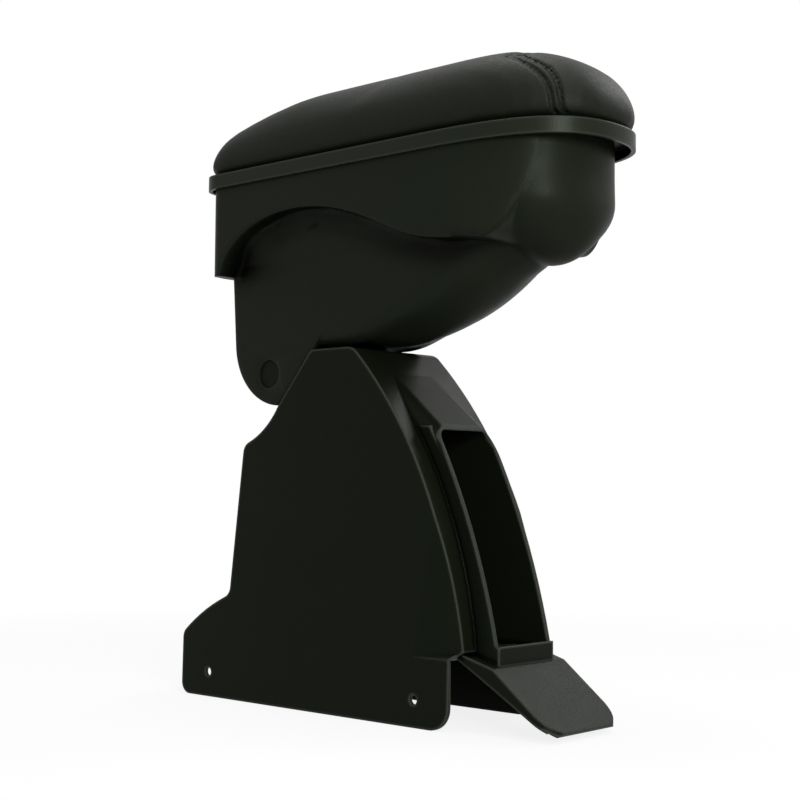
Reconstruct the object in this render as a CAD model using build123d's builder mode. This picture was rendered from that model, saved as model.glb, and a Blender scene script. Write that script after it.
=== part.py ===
# Car centre armrest: a moulded stand, a tilting arm with a storage box and a padded lid.
# Millimetres, +X towards the front of the car, +Z up, origin under the middle of the stand's skirts.
import os
from math import cos, hypot, radians, sin

from build123d import *

os.makedirs("parts", exist_ok=True)

# Walls and clearances
wall = 3.0
body_gap = 0.4  # between pieces that move against each other
run_fit = 0.05  # radial, between a turning pin and its hole
seat_fit = 0.1  # radial, between pieces that are fixed to each other
soft_gap = 0.2  # around the pad

# Stand
stand_length = 240.0
stand_width = 89.0  # over the skirts at the base
stand_top_width = 80.0
stand_height = 231.0
skirt_height = 41.5  # outer top edge of the skirts at the front
shoulder_slope = 32.0  # degrees, from the skirt up to the drawn-in side
relief_start = 72.0  # where the sides start to draw in
relief_depth = 7.6  # how far they draw in at the front
rear_wall_foot = -73.5
flare_rise = 28.0  # from the skirts' top to the flare's end
flare_bulge = 2.5  # how far the flare above the rear skirt bends out
rear_wall_head = -63.0
rear_wall_drop = 61.0  # from the stand's top to the rear wall's upper corner
notch_corner = -31.0
notch_drop = 36.2  # from the stand's top to the notch's inner corner
notch_sag = 3.6  # how far the notch's floor bends down
stand_top_rear = -1.0
stand_top_front = 36.0
nose_bulge = 18.4  # how far the nose bends out from a straight line
nose_foot = 126.8
nose_foot_rise = 5.0  # above the skirts' top
nose_round = 12.0
edge_round = 3.0
skirt_front_round = 14.0
skirt_rear_round = 8.0
skirt_hole_r = 3.0
skirt_hole_spacing = 186.0
skirt_hole_height = 16.4

# Front pocket and tongue
rim_half = 26.5
rim_wall = 2.5
rim_root = 46.0  # where the rim leaves the nose
rim_root_drop = 11.5  # from the stand's top
rim_head = 92.5
rim_head_drop = 50.0
rim_bulge = 5.3  # how far the rim bends out from a straight line
rim_foot = 141.6
rim_corner_round = 9.0
lip_front = 144.0
lip_rise = 8.5  # above the skirts' top
lip_drop = 2.5  # below it
pocket_floor_rise = 4.5
pocket_back_top = 50.0
pocket_back_foot = 86.0
tongue_half = 35.0
tongue_root_half = 36.0
tongue_bend = 146.0
tongue_bend_drop = 3.1  # below the skirts' top
tongue_tip = 188.5
tongue_toe = 5.5
tongue_tip_round = 14.0
tongue_thick = 3.0

# Arm pivot, with the bracket that carries it
pivot_x = -44.9
pivot_drop = 13.7  # below the stand's top
pivot_bolt_r = 4.0
bolt_head_flat = 13.0
bolt_head_height = 3.6
nut_height = 3.0
spring_washer_thick = 0.8
counterbore_depth = 6.6
cap_r = 9.3
cap_thick = 1.3
cap_ledge = 1.2
cap_recess = 1.2
bracket_sheet = 2.5
bracket_eye_r = 11.0
bracket_low = -6.0  # the bracket's foot along the slanted face, from under the pivot
bracket_high = 30.0
bush_wall = 1.5
bush_flange_r = 8.5
bush_flange_thick = 0.8
friction_washer_r = 13.0
friction_washer_thick = 1.2
spacer_wall = 2.5
bracket_bolt_r = 3.0
bracket_bolt_flat = 10.0
bracket_bolt_head = 4.0
bracket_nut_height = 5.0
bracket_washer_r = 6.0
bracket_washer_thick = 1.2
bracket_bolt_spread = 13.0
bracket_bolt_low = 8.0
bracket_bolt_pitch = 16.0

# Arm with its storage box, heights from the pivot
hull_half = 36.0
hull_round = 9.0
belly_round = 26.0  # at the belly's front end
belly_sections = 5
hull_flare = 12.0  # how much each side widens up to the step's crest
ear_wall = 4.0
ear_boss_r = 15.0
ear_boss_depth = 9.0  # from the hull's side to the boss's inner face
knuckle_front_r = 22.3
knuckle_rear = -78.2
knuckle_rear_rise = 18.7
knuckle_sag = 10.2  # how far the knuckle bends out from a straight line
knuckle_bottom = -38.0
hull_rear_lean = 8.0
hull_rest_gap = 2.0  # between the hull and the stand's top at rest
belly_start = 36.0
belly_length = 119.0
belly_rise = 49.6
front_overhang = 14.5  # the lid beyond the box
box_rear_round = 16.0
box_foot_rise = 67.2
box_foot_round = 8.0
box_belly_rise = 62.2
box_front_round = 33.0
front_set_back = 0.5  # the rounded front behind the box's sides
front_seam = 140.0  # where the rounded front begins
crease_rise = 55.0  # how far the step rises again towards the front
crease_run = 32.0
step_start = -77.0  # where the step in the box's side begins
step_crest = -4.0
step_crest_rise = 104.6
step_low = 46.0  # from the box's front to the step's low point
step_clear = 0.6  # the low point above the rounded front's bottom
step_climb_lean = 0.1  # how far the step's steep rear end leans, as a share of its run
step_climb_pull = 0.6  # how long it stays steep, as a share of its rise
step_climb_ease = 0.5  # how long it levels out towards the crest
step_hold = 0.445  # how long the step stays high, as a share of its run to the front
step_ease = 0.34  # how long it levels out at its end
rim_rise = 132.2
floor_rise = 41.7  # the floor over the knuckle's hollow
hollow_front = 6.0

# Lid
lid_half = 57.8
lid_rear = -95.5
lid_front = 209.0
lid_rear_round = 18.5
lid_front_start = 110.0  # where the straight sides turn into the round front
front_fullness = 0.717  # 0.55 makes the front an ellipse, more makes it squarer
band_height = 9.5
band_wall = 2.6
lid_plate = 3.0
lid_rib = 2.0
lid_rib_height = 3.2
hinge_barrel_r = 3.4
hinge_pin_r = 1.5
hinge_knuckle = 14.0
hinge_end_knuckle = 6.0
hinge_spread = 20.0  # from the middle to each group of knuckles

# Pad
pad_height = 43.0
pad_bulge = 1.5
pad_tail = 96.0  # length over which the top falls to the rear
pad_tail_drop = 12.0
pad_top_round = 20.0
pad_foot_round = 4.0
board_thick = 3.0
board_inset = 9.0
screw_r = 2.0
screw_head_r = 4.0
screw_head_height = 2.0
screw_bite = 2.0
screw_spread = 30.0
screw_pitch = 100.0
screw_first = -55.0

# Worked-out places
skirt_front = stand_length / 2
skirt_rear = -stand_length / 2
base_half = stand_width / 2
top_half = stand_top_width / 2
flare_height = skirt_height + flare_rise
nose_foot_height = skirt_height + nose_foot_rise
lip_height = skirt_height + lip_rise
lip_bottom = skirt_height - lip_drop
pocket_floor = skirt_height + pocket_floor_rise
tongue_bend_height = skirt_height - tongue_bend_drop
nose_head = (stand_top_front, stand_height)
nose_end = (nose_foot, nose_foot_height)
notch_head = (stand_top_rear, stand_height)
notch_foot = (notch_corner, stand_height - notch_drop)
pivot_z = stand_height - pivot_drop
pivot = (pivot_x, pivot_z)
slant_length = hypot(notch_head[0] - notch_foot[0], notch_head[1] - notch_foot[1])
slant_x = (notch_head[0] - notch_foot[0]) / slant_length
slant_z = (notch_head[1] - notch_foot[1]) / slant_length
pivot_stand_off = (notch_foot[0] - pivot_x) * slant_z - (notch_foot[1] - pivot_z) * slant_x
slant_foot = (pivot_x + pivot_stand_off * slant_z, pivot_z - pivot_stand_off * slant_x)
slant_plane = Plane(
    origin=(slant_foot[0], 0, slant_foot[1]),
    x_dir=(slant_x, 0, slant_z),
    z_dir=(-slant_z, 0, slant_x),
)
ear_inner = hull_half - ear_boss_depth
hull_bottom = stand_height + hull_rest_gap
box_rim = pivot_z + rim_rise
box_half = lid_half - band_wall - body_gap
box_rear = lid_rear + band_wall + body_gap
box_front = lid_front - front_overhang
step_end = box_front - step_low
box_foot = pivot_z + box_foot_rise
box_belly = pivot_z + box_belly_rise
lid_underside = box_rim + body_gap
lid_top = lid_underside + lid_plate
band_bottom = lid_top - band_height
pad_base = lid_top + soft_gap
pad_top = pad_base + pad_height
pad_rear = lid_rear - pad_bulge
pad_front = lid_front + pad_bulge
hinge_x = box_rear - hinge_barrel_r - body_gap
hinge_z = band_bottom - hinge_barrel_r - body_gap
cheek_outer = ear_inner - friction_washer_thick - bush_flange_thick
cheek_inner = cheek_outer - bracket_sheet
bush_r = pivot_bolt_r + run_fit + bush_wall
head_seat = hull_half - counterbore_depth
screw_places = [(screw_first + i * screw_pitch, side * screw_spread) for i in range(3) for side in (-1, 1)]
bracket_bolt_places = [
    (bracket_bolt_low + i * bracket_bolt_pitch, side * bracket_bolt_spread) for i in range(2) for side in (-1, 1)
]


# A point between two others, moved sideways by a bulge, to bend an arc through
def bulged(start, end, bulge):
    run, rise = end[0] - start[0], end[1] - start[1]
    length = hypot(run, rise)
    return ((start[0] + end[0]) / 2 - bulge * rise / length, (start[1] + end[1]) / 2 + bulge * run / length)


# The side view of the stand, drawn in by an inset, with its bottom open below the base when inset
def stand_profile(inset):
    low = -4 * inset
    rear_foot = (rear_wall_foot, flare_height)
    rear_head = (rear_wall_head, stand_height - rear_wall_drop)
    flare_start = (skirt_rear, skirt_height)
    with BuildSketch() as profile:
        with BuildLine():
            ThreePointArc(nose_head, bulged(nose_head, nose_end, nose_bulge), nose_end)
            Polyline(nose_end, (skirt_front, skirt_height), (skirt_front, low), (skirt_rear, low), flare_start)
            ThreePointArc(flare_start, bulged(flare_start, rear_foot, flare_bulge), rear_foot)
            Line(rear_foot, rear_head)
            ThreePointArc(rear_head, bulged(rear_head, notch_foot, -notch_sag), notch_foot)
            Polyline(notch_foot, notch_head, nose_head)
        make_face()
        fillet(profile.vertices().sort_by_distance((skirt_front, low))[0], skirt_front_round)
        fillet(profile.vertices().sort_by_distance((skirt_rear, low))[0], skirt_rear_round)
        fillet(profile.vertices().sort_by_distance(flare_start)[0], skirt_rear_round)
        fillet(profile.vertices().sort_by_distance(rear_foot)[0], skirt_rear_round)
        fillet(profile.vertices().sort_by_distance(rear_head)[0], skirt_rear_round)
        fillet(profile.vertices().sort_by_distance(nose_head)[0], nose_round)
        fillet(profile.vertices().sort_by_distance(notch_head)[0], edge_round + wall)
        if inset:
            offset(amount=-inset, kind=Kind.INTERSECTION)
    return profile.sketch


# What the drawn-in sides take off the front of the stand, above the shoulders of the skirts
def nose_relief(inset):
    half = base_half - inset
    end = nose_foot + 2 * wall
    with BuildPart() as relief:
        with BuildSketch():
            with BuildLine():
                bend = TangentArc((relief_start, half), (end, half - relief_depth), tangent=(1, 0))
                Polyline(bend @ 1, (end, half + wall), (relief_start, half + wall), bend @ 0)
            make_face()
        extrude(amount=stand_height + wall)
        slope = radians(shoulder_slope)
        shoulder = Plane(
            origin=(0, half, skirt_height - inset), x_dir=(1, 0, 0), z_dir=(0, sin(slope), cos(slope))
        )
        split(bisect_by=shoulder, keep=Keep.TOP)
        mirror(about=Plane.XZ)
    return relief.part


# The stand's outer form, or its inside when inset by the wall
def stand_form(inset):
    profile = stand_profile(inset)
    relief = nose_relief(inset)
    lean = (base_half - top_half) / stand_height
    low = -5 * inset
    low_half = base_half - inset - lean * low
    high_half = top_half - inset
    with BuildPart() as form:
        with BuildSketch(Plane.XZ):
            add(profile)
        extrude(amount=stand_width, both=True)
        with BuildSketch(Plane.YZ):
            with BuildLine():
                Polyline(
                    (-low_half, low),
                    (low_half, low),
                    (high_half, stand_height),
                    (-high_half, stand_height),
                    close=True,
                )
            make_face()
        extrude(amount=2 * stand_length, both=True, mode=Mode.INTERSECT)
        add(relief, mode=Mode.SUBTRACT)
    return form.part


# The outline that the lid, its board, the pad and the box share: straight sides and a full round front
def d_outline(half, rear, front, rear_round):
    reach = front - lid_front_start
    with BuildSketch() as outline:
        with BuildLine():
            Polyline((lid_front_start, half), (rear, half), (rear, -half), (lid_front_start, -half))
            for side in (-1, 1):
                Bezier(
                    (lid_front_start, side * half),
                    (lid_front_start + front_fullness * reach, side * half),
                    (front, side * front_fullness * half),
                    (front, 0),
                )
        make_face()
        fillet(outline.vertices().group_by(Axis.X)[0], rear_round)
    return outline.sketch


# The side view of the arm's hull with its knuckle
def hull_profile(inset, end):
    top = box_rim + 2 * inset
    rear = (knuckle_rear, pivot_z + knuckle_rear_rise)
    knuckle_dx = knuckle_bottom - pivot_x
    bottom = (knuckle_bottom, pivot_z - (knuckle_front_r**2 - knuckle_dx**2) ** 0.5)
    front = (pivot_x + knuckle_front_r * slant_z, pivot_z - knuckle_front_r * slant_x)
    turn_x = knuckle_bottom - pivot_x + front[0] - pivot_x
    turn_z = bottom[1] - pivot_z + front[1] - pivot_z
    turn = knuckle_front_r / hypot(turn_x, turn_z)
    climb = (hull_bottom - front[1]) / slant_z
    corner = (front[0] + climb * slant_x, hull_bottom)
    with BuildSketch() as profile:
        with BuildLine():
            ThreePointArc(rear, bulged(rear, bottom, -knuckle_sag), bottom)
            ThreePointArc(bottom, (pivot_x + turn * turn_x, pivot_z + turn * turn_z), front)
            Polyline(
                front, corner, (end, hull_bottom), (end, top), (knuckle_rear - hull_rear_lean, top), rear
            )
        make_face()
        if inset:
            offset(amount=-inset, kind=Kind.INTERSECTION)
    return profile.sketch


# What the storage box fills in the side view: all above the step in its side
def step_profile(inset):
    margin = wall / 2
    rear = box_rear - margin + inset
    front = step_end + crease_run
    top = box_rim + 8 * wall
    foot = box_foot + inset
    belly = box_belly + step_clear + inset
    start = step_start - inset
    crest_z = pivot_z + step_crest_rise + inset
    climb = step_crest - start
    run = step_end - step_crest
    with BuildSketch() as profile:
        with BuildLine():
            Bezier(
                (start, foot),
                (start + step_climb_lean * climb, foot + step_climb_pull * (crest_z - foot)),
                (step_crest - step_climb_ease * climb, crest_z),
                (step_crest, crest_z),
            )
            Bezier(
                (step_crest, crest_z),
                (step_crest + step_hold * run, crest_z),
                (step_end - step_ease * run, belly),
                (step_end, belly),
            )
            Bezier(
                (step_end, belly),
                (step_end + crease_run / 3, belly),
                (step_end + crease_run * 2 / 3, belly + crease_rise / 3),
                (front, belly + crease_rise),
            )
            Polyline((front, belly + crease_rise), (front, top), (rear, top), (rear, foot), (start, foot))
        make_face()
        fillet(profile.vertices().sort_by_distance((rear, foot))[0], box_foot_round - inset)
    return profile.sketch


# The storage box's outer form, or its inside when inset by the wall
def box_form(inset):
    outline = d_outline(box_half - inset, box_rear + inset, box_front - inset, box_rear_round - inset)
    back = front_set_back + inset
    front_outline = d_outline(box_half - back, box_rear + back, box_front - back, box_rear_round - back)
    step = step_profile(inset)
    top = box_rim + 2 * inset
    with BuildPart() as front:
        with BuildSketch(Plane.XY.offset(box_belly + inset)):
            add(front_outline)
        extrude(amount=top - box_belly - inset)
        split(bisect_by=Plane.YZ.offset(front_seam), keep=Keep.TOP)
        low_edges = front.faces().sort_by(Axis.Z)[0].edges()
        fillet(low_edges.filter_by(Axis.Y, reverse=True), box_front_round - inset)
    with BuildPart() as form:
        with BuildSketch(Plane.XY.offset(top)):
            add(outline)
        extrude(amount=box_belly - wall - top)
        with BuildSketch(Plane.XZ):
            add(step)
        extrude(amount=2 * box_half, both=True, mode=Mode.INTERSECT)
        add(front.part)
    return form.part


# A cross-section of the hull's front, a share of the way along its belly
def belly_section(share, inset):
    bend = (belly_length**2 + belly_rise**2) / (2 * belly_rise)
    run = share * (belly_length - inset)
    bottom = hull_bottom + bend - ((bend - inset) ** 2 - run**2) ** 0.5
    top = box_rim + inset
    place = belly_start - inset + share * belly_length
    with BuildSketch(Plane.YZ.offset(place)) as section:
        with Locations((0, (bottom + top) / 2)):
            Rectangle(2 * (hull_half - inset), top - bottom)
        fillet(section.vertices().group_by(Axis.Y)[0], hull_round + share * (belly_round - hull_round) - inset)
    return section.sketch


# The arm's hull, rounded along its belly
def hull_form(inset):
    rear_profile = hull_profile(inset, belly_start)
    whole_profile = hull_profile(inset, belly_start + belly_length)
    sections = [belly_section(i / (belly_sections - 1), inset) for i in range(belly_sections)]
    half = hull_half - inset
    wide = half + hull_flare
    flare_low = hull_bottom + belly_rise + hull_round
    flare_high = pivot_z + step_crest_rise
    top = box_rim + 2 * inset
    with BuildPart() as flare:
        with BuildSketch(Plane.XZ):
            add(whole_profile)
        extrude(amount=wide, both=True)
        with BuildSketch(Plane.YZ):
            with BuildLine():
                Polyline(
                    (-half, flare_low),
                    (half, flare_low),
                    (wide, flare_high),
                    (wide, top),
                    (-wide, top),
                    (-wide, flare_high),
                    close=True,
                )
            make_face()
        extrude(amount=2 * stand_length, both=True, mode=Mode.INTERSECT)
    with BuildPart() as form:
        with BuildSketch(Plane.XZ):
            add(rear_profile)
        extrude(amount=half, both=True)
        low_edges = form.faces().filter_by(Axis.Y).edges().filter_by(Axis.X)
        fillet(low_edges.filter_by(lambda edge: edge.center().Z < box_belly), hull_round - inset)
        loft(sections)
        add(flare.part)
    return form.part


# A hexagonal prism's corner radius from its width over the flats
def across_corners(flat):
    return flat / (2 * cos(radians(30)))


stand_outer = stand_form(0)
stand_inner = stand_form(wall)

# The rim round the front pocket, solid until the pocket is cut
rim_start = (rim_root, stand_height - rim_root_drop)
rim_top = (rim_head, stand_height - rim_head_drop)
rim_end = (rim_foot, lip_height)
with BuildPart() as pocket_rim:
    with BuildSketch(Plane.XZ):
        with BuildLine():
            Line(rim_start, rim_top)
            ThreePointArc(rim_top, bulged(rim_top, rim_end, rim_bulge), rim_end)
            Polyline(
                rim_end,
                (lip_front, lip_height),
                (lip_front, lip_bottom),
                (pocket_back_foot, lip_bottom),
                (pocket_back_top, rim_top[1]),
                rim_start,
            )
        make_face()
    extrude(amount=rim_half, both=True)
    rim_roof = pocket_rim.faces().sort_by_distance((rim_head, 0, rim_start[1]))[0]
    fillet(rim_roof.edges().filter_by(Axis.Y, reverse=True), rim_corner_round)

# The pocket's walls inside the stand, and the pocket itself
pocket_top = rim_top[1] - wall
pocket_half = rim_half - rim_wall
wall_top = (rim_head - wall, pocket_top + rim_wall)
wall_end = (rim_foot - wall, pocket_floor - rim_wall)
with BuildPart() as pocket_walls:
    with BuildSketch(Plane.XZ):
        with BuildLine():
            ThreePointArc(wall_top, bulged(wall_top, wall_end, rim_bulge), wall_end)
            Polyline(
                wall_end,
                (pocket_back_foot - rim_wall, wall_end[1]),
                (pocket_back_top - rim_wall, wall_top[1]),
                wall_top,
            )
        make_face()
    extrude(amount=rim_half, both=True)

with BuildPart() as pocket:
    with BuildSketch(Plane.XZ):
        with BuildLine():
            Polyline(
                (pocket_back_top, pocket_top),
                (lip_front + wall, pocket_top),
                (lip_front + wall, lip_height),
                (lip_front - rim_wall, lip_height),
                (lip_front - rim_wall, pocket_floor),
                (pocket_back_foot, pocket_floor),
                close=True,
            )
        make_face()
    extrude(amount=pocket_half, both=True)
    roof = pocket.faces().sort_by(Axis.Z)[-1]
    fillet(roof.edges().filter_by(Axis.X), rim_corner_round - rim_wall)

# The tongue that lies on the console in front of the stand
tongue_run = hypot(tongue_tip - tongue_bend, tongue_bend_height - tongue_toe)
under_x = tongue_thick * (tongue_bend_height - tongue_toe) / tongue_run
under_z = tongue_thick * (tongue_tip - tongue_bend) / tongue_run
with BuildPart() as tongue:
    with BuildSketch(Plane.XZ):
        with BuildLine():
            Polyline(
                (skirt_front - wall, nose_foot_height + seat_fit),
                (tongue_bend, tongue_bend_height),
                (tongue_tip, tongue_toe),
                (tongue_tip - under_x, tongue_toe - under_z),
                (skirt_front - wall, nose_foot_height - tongue_thick),
                close=True,
            )
        make_face()
    extrude(amount=tongue_root_half, both=True)
    # The hollow between the flanges along the tongue's sides
    with BuildSketch(Plane.XZ):
        with BuildLine():
            Polyline(
                (skirt_front - wall, nose_foot_height - tongue_thick),
                (tongue_bend - under_x, tongue_bend_height - under_z),
                (tongue_tip - under_x, tongue_toe - under_z),
                (skirt_front - wall, -wall),
                close=True,
            )
        make_face()
    extrude(amount=tongue_half - tongue_thick, both=True, mode=Mode.SUBTRACT)
    with BuildSketch() as tongue_plan:
        with BuildLine():
            Polyline(
                (skirt_front - wall, -tongue_root_half),
                (tongue_bend, -tongue_half),
                (tongue_tip, -tongue_half),
                (tongue_tip, tongue_half),
                (tongue_bend, tongue_half),
                (skirt_front - wall, tongue_root_half),
                close=True,
            )
        make_face()
        fillet(tongue_plan.vertices().group_by(Axis.X)[-1], tongue_tip_round)
    extrude(amount=stand_height, mode=Mode.INTERSECT)

with BuildPart() as stand_shell:
    add(stand_outer)
    add(pocket_rim.part)
    add(stand_inner, mode=Mode.SUBTRACT)
    add(pocket_walls.part)
    add(pocket.part, mode=Mode.SUBTRACT)
    # The gap between the skirts, open to the front and the rear
    with BuildSketch(Plane.XZ):
        with BuildLine():
            Polyline(
                (skirt_front + seat_fit, -wall),
                (skirt_front + seat_fit, skirt_height),
                (skirt_rear - wall, skirt_height - 2 * wall),
                (skirt_rear - wall, -wall),
                close=True,
            )
        make_face()
    extrude(amount=base_half - wall, both=True, mode=Mode.SUBTRACT)
    add(tongue.part)
    with BuildSketch(Plane.XZ):
        with Locations((-skirt_hole_spacing / 2, skirt_hole_height), (skirt_hole_spacing / 2, skirt_hole_height)):
            Circle(skirt_hole_r)
    extrude(amount=stand_width, both=True, mode=Mode.SUBTRACT)
    with BuildSketch(slant_plane):
        with Locations(*bracket_bolt_places):
            Circle(bracket_bolt_r + seat_fit)
    extrude(amount=-2 * wall, mode=Mode.SUBTRACT)
stand_shell.part.label = "stand_shell"
export_step(stand_shell.part, "parts/stand_shell.step")

# The steel bracket on the stand's slanted face
with BuildPart() as hinge_bracket:
    with BuildSketch(slant_plane):
        with Locations(((bracket_low + bracket_high) / 2, 0)):
            Rectangle(bracket_high - bracket_low, 2 * cheek_outer)
    extrude(amount=bracket_sheet)
    for side in (-1, 1):
        with BuildSketch(Plane.XZ.offset(side * cheek_outer)):
            with BuildLine():
                Line(
                    (slant_foot[0] + bracket_low * slant_x, slant_foot[1] + bracket_low * slant_z),
                    (slant_foot[0] + bracket_high * slant_x, slant_foot[1] + bracket_high * slant_z),
                )
                CenterArc(pivot, bracket_eye_r, 0, 360)
            make_hull()
        extrude(amount=-side * bracket_sheet)
    with BuildSketch(Plane.XZ):
        with Locations(pivot):
            Circle(bush_r + seat_fit)
    extrude(amount=hull_half, both=True, mode=Mode.SUBTRACT)
    with BuildSketch(slant_plane):
        with Locations(*bracket_bolt_places):
            Circle(bracket_bolt_r + seat_fit)
    extrude(amount=bracket_sheet, mode=Mode.SUBTRACT)
hinge_bracket.part.label = "hinge_bracket"
export_step(hinge_bracket.part, "parts/hinge_bracket.step")

nut_face = -wall - bracket_washer_thick
with BuildPart() as bracket_bolts:
    with BuildSketch(slant_plane.offset(bracket_sheet)):
        with Locations(*bracket_bolt_places):
            RegularPolygon(across_corners(bracket_bolt_flat), 6)
    extrude(amount=bracket_bolt_head)
    with BuildSketch(slant_plane.offset(bracket_sheet)):
        with Locations(*bracket_bolt_places):
            Circle(bracket_bolt_r)
    extrude(amount=nut_face - bracket_nut_height - bracket_sheet)
bracket_bolts.part.label = "bracket_bolts"
export_step(bracket_bolts.part, "parts/bracket_bolts.step")

with BuildPart() as bracket_washers:
    with BuildSketch(slant_plane.offset(-wall)):
        with Locations(*bracket_bolt_places):
            Circle(bracket_washer_r)
            Circle(bracket_bolt_r + seat_fit, mode=Mode.SUBTRACT)
    extrude(amount=-bracket_washer_thick)
bracket_washers.part.label = "bracket_washers"
export_step(bracket_washers.part, "parts/bracket_washers.step")

with BuildPart() as bracket_nuts:
    with BuildSketch(slant_plane.offset(nut_face)):
        with Locations(*bracket_bolt_places):
            RegularPolygon(across_corners(bracket_bolt_flat), 6)
            Circle(bracket_bolt_r + run_fit, mode=Mode.SUBTRACT)
    extrude(amount=-bracket_nut_height)
bracket_nuts.part.label = "bracket_nuts"
export_step(bracket_nuts.part, "parts/bracket_nuts.step")

with BuildPart() as spacer_tube:
    with BuildSketch(Plane.XZ):
        with Locations(pivot):
            Circle(pivot_bolt_r + seat_fit + spacer_wall)
            Circle(pivot_bolt_r + seat_fit, mode=Mode.SUBTRACT)
    extrude(amount=cheek_inner, both=True)
spacer_tube.part.label = "spacer_tube"
export_step(spacer_tube.part, "parts/spacer_tube.step")

# Plain flanged bushes in the bracket's eyes
with BuildPart() as pivot_bushes:
    for side in (-1, 1):
        with BuildSketch(Plane.XZ.offset(side * cheek_inner)):
            with Locations(pivot):
                Circle(bush_r)
        extrude(amount=side * bracket_sheet)
        with BuildSketch(Plane.XZ.offset(side * cheek_outer)):
            with Locations(pivot):
                Circle(bush_flange_r)
        extrude(amount=side * bush_flange_thick)
    with BuildSketch(Plane.XZ):
        with Locations(pivot):
            Circle(pivot_bolt_r + run_fit)
    extrude(amount=hull_half, both=True, mode=Mode.SUBTRACT)
pivot_bushes.part.label = "pivot_bushes"
export_step(pivot_bushes.part, "parts/pivot_bushes.step")

with BuildPart() as friction_washers:
    for side in (-1, 1):
        with BuildSketch(Plane.XZ.offset(side * ear_inner)):
            with Locations(pivot):
                Circle(friction_washer_r)
                Circle(pivot_bolt_r + seat_fit, mode=Mode.SUBTRACT)
        extrude(amount=-side * friction_washer_thick)
friction_washers.part.label = "friction_washers"
export_step(friction_washers.part, "parts/friction_washers.step")

# The bolt's head is on the right-hand side, its nut on the left
with BuildPart() as pivot_bolt:
    with BuildSketch(Plane.XZ.offset(head_seat)):
        with Locations(pivot):
            RegularPolygon(across_corners(bolt_head_flat), 6)
    extrude(amount=bolt_head_height)
    with BuildSketch(Plane.XZ.offset(head_seat)):
        with Locations(pivot):
            Circle(pivot_bolt_r)
    extrude(amount=-2 * head_seat - spring_washer_thick - nut_height)
pivot_bolt.part.label = "pivot_bolt"
export_step(pivot_bolt.part, "parts/pivot_bolt.step")

with BuildPart() as spring_washer:
    with BuildSketch(Plane.XZ.offset(-head_seat)):
        with Locations(pivot):
            Circle(bolt_head_flat / 2)
            Circle(pivot_bolt_r + seat_fit, mode=Mode.SUBTRACT)
    extrude(amount=-spring_washer_thick)
spring_washer.part.label = "spring_washer"
export_step(spring_washer.part, "parts/spring_washer.step")

with BuildPart() as pivot_nut:
    with BuildSketch(Plane.XZ.offset(-head_seat - spring_washer_thick)):
        with Locations(pivot):
            RegularPolygon(across_corners(bolt_head_flat), 6)
            Circle(pivot_bolt_r + run_fit, mode=Mode.SUBTRACT)
    extrude(amount=-nut_height)
pivot_nut.part.label = "pivot_nut"
export_step(pivot_nut.part, "parts/pivot_nut.step")

for side, place in ((1, "right"), (-1, "left")):
    with BuildPart() as pivot_cap:
        with BuildSketch(Plane.XZ.offset(side * (hull_half - cap_recess - cap_thick))):
            with Locations(pivot):
                Circle(cap_r)
        extrude(amount=side * cap_thick)
        outer_face = pivot_cap.faces().filter_by(Axis.Y).sort_by(Axis.Y)[0 if side > 0 else -1]
        fillet(outer_face.edges(), cap_thick / 3)
    pivot_cap.part.label = "pivot_cap_" + place
    export_step(pivot_cap.part, "parts/pivot_cap_" + place + ".step")

hull_outer = hull_form(0)
hull_inner = hull_form(wall)
box_outer = box_form(0)
box_inner = box_form(wall)
floor_z = pivot_z + floor_rise
hollow_low = pivot_z - 2 * knuckle_front_r
hollow_rear = knuckle_rear + ear_wall
tail_low = pivot_z + wall

# The inside of the storage box, above the floor over the knuckle
with BuildPart() as arm_cavity:
    add(hull_inner)
    add(box_inner)
    with BuildSketch(Plane.XZ):
        with BuildLine():
            Polyline(
                (lid_rear, floor_z),
                (hollow_front + wall, floor_z),
                (hollow_front + wall, hollow_low),
                (lid_rear, hollow_low),
                close=True,
            )
        make_face()
    extrude(amount=hull_half, both=True, mode=Mode.SUBTRACT)

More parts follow.
